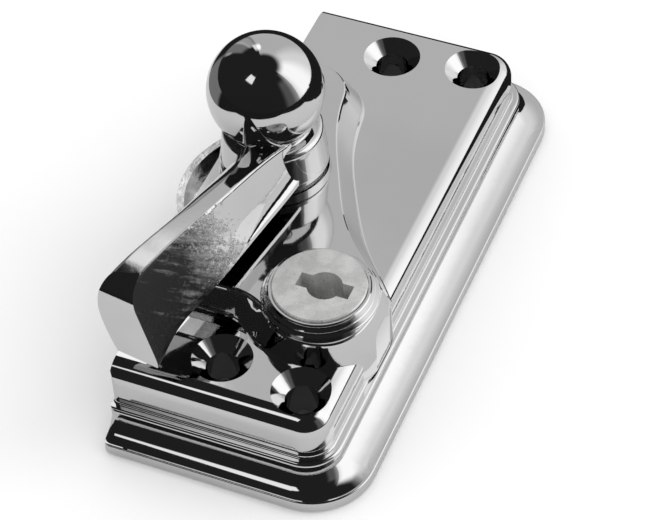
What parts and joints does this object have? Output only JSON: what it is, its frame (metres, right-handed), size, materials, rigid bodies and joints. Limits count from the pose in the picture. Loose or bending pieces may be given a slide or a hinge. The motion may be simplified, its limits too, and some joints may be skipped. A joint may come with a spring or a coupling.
{
  "type": "lever pivot lock",
  "caption": "Chromed sash window pivot lock: a ball-knob lever turns a crescent cam out of a moulded rectangular housing beside a key-operated lock barrel.",
  "frame": {"origin": "where the lever's pivot axis meets the fixing face", "axes": "+Z along the pivot axis, away from the sash; +X across the housing, from its straight cut side to the key side; +Y along the housing, away from the lock barrel"},
  "size_m": [0.043, 0.0853, 0.0392],
  "materials": {
    "polished_chrome": "polished chrome plate on a zinc casting",
    "satin_nickel": "satin nickel plate",
    "spring_steel": "spring steel",
    "bright_steel": "zinc plated steel",
    "brass": "turned brass"
  },
  "bodies": {
    "base": {"housing": "polished_chrome", "pivot_bush": "polished_chrome", "wave_washer": "spring_steel", "cylinder_bezel": "polished_chrome", "cylinder_sleeve": "brass", "barrel_stop_pin": "bright_steel", "cam_stop_pin": "bright_steel", "bolt_guide": "bright_steel", "bolt_guide_screws": "bright_steel", "base_plate": "bright_steel", "base_plate_screws": "bright_steel"},
    "lever": {"lever": "polished_chrome", "spindle": "bright_steel", "hub_washer": "polished_chrome", "crescent_cam": "polished_chrome", "locking_disc": "bright_steel", "thrust_washer": "bright_steel", "spindle_clip": "spring_steel"},
    "barrel": {"lock_barrel": "satin_nickel", "drive_pin": "bright_steel", "barrel_washer": "spring_steel", "barrel_clip": "spring_steel"},
    "bolt": {"locking_bolt": "bright_steel"}
  },
  "joints": [
    {"name": "lever_pivot", "type": "hinge", "parent": "base", "child": "lever", "pos_m": [0, 0, 0.0193], "axis": [0, 0, -1], "range_deg": [0, 180]},
    {"name": "barrel_turn", "type": "hinge", "parent": "base", "child": "barrel", "pos_m": [0.0155, -0.021, 0.0172], "axis": [0, 0, -1], "range_deg": [0, 90]},
    {"name": "bolt_slide", "type": "slide", "parent": "base", "child": "bolt", "axis": [-0.5939, 0.8046, 0], "range_m": [0, 0.0026]}
  ],
  "couplings": [
    {"joint": "bolt_slide", "follows": "barrel_turn", "m_per_rad": 0.0016552}
  ]
}
